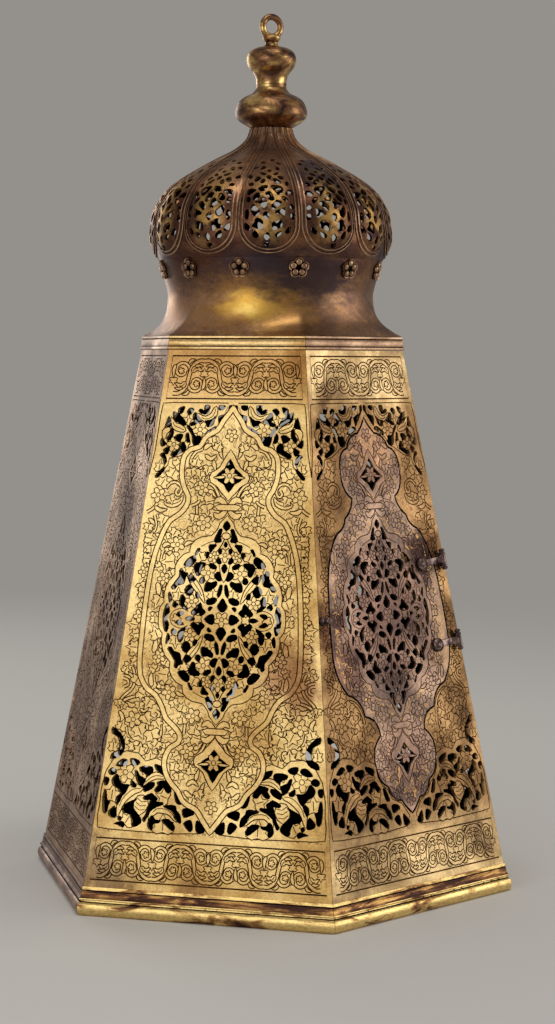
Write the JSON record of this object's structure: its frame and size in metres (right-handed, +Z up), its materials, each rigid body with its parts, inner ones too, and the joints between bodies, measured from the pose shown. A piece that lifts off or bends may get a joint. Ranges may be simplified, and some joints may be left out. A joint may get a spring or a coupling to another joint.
{
  "type": "pierced brass lantern",
  "caption": "Hexagonal leaning lantern of pierced brass sheet with a lobed hinged door, a moulded foot and cornice, a round drum, a lobed pierced dome, turned knops and a suspension eye.",
  "frame": {"origin": "middle of the foot's underside, on the lantern's axis", "axes": "+Z up along the lantern's axis, -Y out of the side that has the door, +X towards the door's hinges"},
  "size_m": [0.3724, 0.3228, 0.6427],
  "materials": {
    "panel_brass": "gilt, engraved and worn",
    "moulding_brass": "gilt, worn bright on the edges",
    "door_brass": "gilt, tarnished violet brown",
    "cap_brass": "gilt, darkly tarnished",
    "hinge_brass": "cast, dark",
    "inner_brass": "dull, smoke darkened"
  },
  "bodies": {
    "lantern": {"panel_1": "panel_brass", "panel_2": "panel_brass", "panel_3": "panel_brass", "panel_4": "panel_brass", "panel_5": "panel_brass", "door_panel": "panel_brass", "foot_moulding_1": "moulding_brass", "foot_moulding_2": "moulding_brass", "foot_moulding_3": "moulding_brass", "foot_moulding_4": "moulding_brass", "foot_moulding_5": "moulding_brass", "foot_moulding_6": "moulding_brass", "cornice_1": "moulding_brass", "cornice_2": "moulding_brass", "cornice_3": "moulding_brass", "cornice_4": "moulding_brass", "cornice_5": "moulding_brass", "cornice_6": "moulding_brass", "cap_shell": "cap_brass", "lower_knop": "cap_brass", "upper_knop": "cap_brass", "suspension_eye": "cap_brass", "rosette_1": "cap_brass", "rosette_2": "cap_brass", "rosette_3": "cap_brass", "rosette_4": "cap_brass", "rosette_5": "cap_brass", "rosette_6": "cap_brass", "rosette_7": "cap_brass", "rosette_8": "cap_brass", "rosette_9": "cap_brass", "rosette_10": "cap_brass", "rosette_11": "cap_brass", "rosette_12": "cap_brass", "hinge_bracket_lower": "hinge_brass", "hinge_bracket_upper": "hinge_brass", "hinge_pin_lower": "hinge_brass", "hinge_pin_upper": "hinge_brass", "latch_stud": "hinge_brass", "corner_strip_1": "inner_brass", "corner_strip_2": "inner_brass", "corner_strip_3": "inner_brass", "corner_strip_4": "inner_brass", "corner_strip_5": "inner_brass", "corner_strip_6": "inner_brass", "floor_plate": "inner_brass", "drip_pan": "inner_brass", "candle_socket": "inner_brass", "rod_washer": "inner_brass", "rod_nut": "inner_brass", "door_stop_1": "inner_brass", "door_stop_2": "inner_brass"},
    "door": {"door_leaf": "door_brass", "hinge_strap_lower": "hinge_brass", "hinge_strap_upper": "hinge_brass"}
  },
  "joints": [
    {"name": "door_swing", "type": "hinge", "parent": "lantern", "child": "door", "pos_m": [0.06519, -0.12392, 0.21416], "axis": [-0.1031, 0.1785, 0.9785], "range_deg": [0, 220]}
  ]
}
